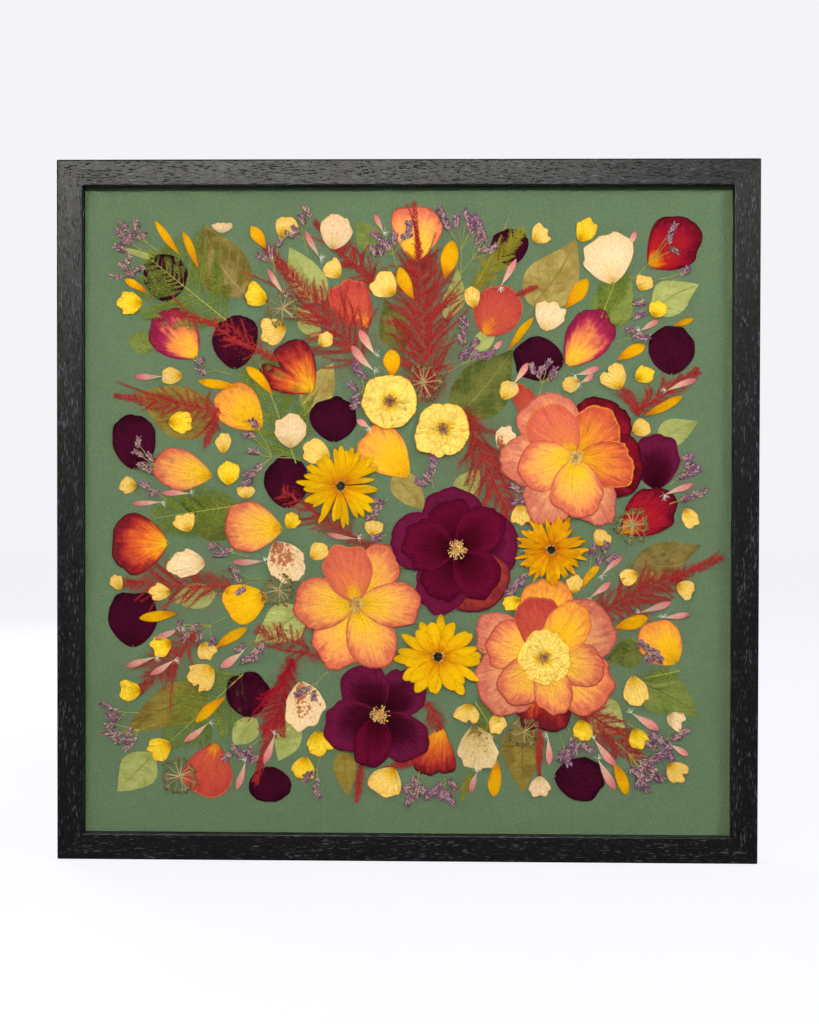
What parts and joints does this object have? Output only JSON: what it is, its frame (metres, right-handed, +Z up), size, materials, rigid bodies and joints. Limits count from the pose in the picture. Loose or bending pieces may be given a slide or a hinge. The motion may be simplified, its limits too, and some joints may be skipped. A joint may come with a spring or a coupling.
{
  "type": "pressed flower frame",
  "caption": "Square black wooden box frame, glazed, holding pressed petals, leaves, blooms, plumes and sprigs on a green board.",
  "frame": {"origin": "middle of the underside: centre of the bounding box in X and Y, at the standing edge in Z", "axes": "+X to the viewer's right, +Y from the glass to the back, +Z up"},
  "size_m": [0.528, 0.0322, 0.528],
  "materials": {
    "frame_wood": "black stain on open-grained wood, satin",
    "glazing": "clear flat picture glass",
    "spacer_slip": "matt black slip",
    "green_board": "matt green paper-faced board with a fine fibre",
    "backing_board": "raw brown fibreboard",
    "gummed_tape": "brown gummed paper tape",
    "hanger_steel": "zinc-plated steel",
    "bumper_rubber": "soft black rubber",
    "petal_burgundy": "dried petal, dark wine red, velvety",
    "petal_peach": "dried petal, peach and coral with a yellow base",
    "petal_crimson": "dried petal, crimson or magenta with a yellow base",
    "petal_cream": "dried petal, cream to yellow",
    "petal_yellow": "dried petal or ray floret, deep yellow",
    "floret_pink": "dried floret, pink fading to cream",
    "calendula_orange": "dried ray florets, bright orange-yellow",
    "flower_heart": "dark dried flower centre with golden stamens",
    "leaf_olive": "dried leaf, olive to brown",
    "leaf_pale": "dried leaf, light green",
    "plume_red": "dried feathery plume, brick red",
    "fern_green": "dried feathery fronds, green",
    "statice_purple": "dried papery florets, purple in pale calyces",
    "stem_green": "thin dried stems, straw green",
    "umbel_brown": "dried flower-head spokes, brown"
  },
  "bodies": {
    "root": {"rail_bottom": "frame_wood", "rail_left": "frame_wood", "rail_top": "frame_wood", "rail_right": "frame_wood", "glass": "glazing", "slip_bottom": "spacer_slip", "slip_top": "spacer_slip", "slip_left": "spacer_slip", "slip_right": "spacer_slip", "mount_board": "green_board", "backing_board": "backing_board", "tape_bottom": "gummed_tape", "tape_top": "gummed_tape", "tape_left": "gummed_tape", "tape_right": "gummed_tape", "hanger_plate": "hanger_steel", "nail_left": "hanger_steel", "nail_right": "hanger_steel", "bumper_left": "bumper_rubber", "bumper_right": "bumper_rubber", "leaf_brown_top_left": "leaf_olive", "leaf_pale_top": "leaf_pale", "leaf_tan_top_right": "leaf_olive", "leaf_pale_right": "leaf_pale", "leaf_striped_middle": "leaf_olive", "leaf_olive_left": "leaf_olive", "leaf_dark_left": "leaf_olive", "leaf_brown_right": "leaf_olive", "leaf_olive_low_left": "leaf_olive", "leaf_pale_low_left": "leaf_pale", "leaf_green_low_right": "leaf_pale", "leaf_brown_bottom": "leaf_olive", "petal_burgundy_top_left": "petal_burgundy", "petal_burgundy_upper_left": "petal_burgundy", "petal_burgundy_top_right": "petal_burgundy", "petal_burgundy_upper_right": "petal_burgundy", "petal_burgundy_right": "petal_burgundy", "petal_burgundy_left": "petal_burgundy", "petal_burgundy_middle": "petal_burgundy", "petal_burgundy_far_right": "petal_burgundy", "petal_burgundy_low_left": "petal_burgundy", "petal_burgundy_lower_left": "petal_burgundy", "petal_burgundy_bottom_right": "petal_burgundy", "petal_peach_top": "petal_peach", "petal_crimson_top_right": "petal_crimson", "petal_magenta_upper_left": "petal_crimson", "petal_magenta_upper_right": "petal_crimson", "petal_flame_left": "petal_crimson", "petal_coral_low_left": "petal_peach", "bloom_peach_right": "petal_peach", "bloom_peach_left": "petal_peach", "bloom_peach_low_right": "petal_peach", "bloom_burgundy_middle": "petal_burgundy", "bloom_burgundy_low": "petal_burgundy", "calendula_upper": "calendula_orange", "calendula_low": "calendula_orange", "calendula_right": "calendula_orange", "rosette_upper": "petal_cream", "rosette_second": "petal_cream", "rosette_low": "petal_cream"}
  },
  "joints": []
}
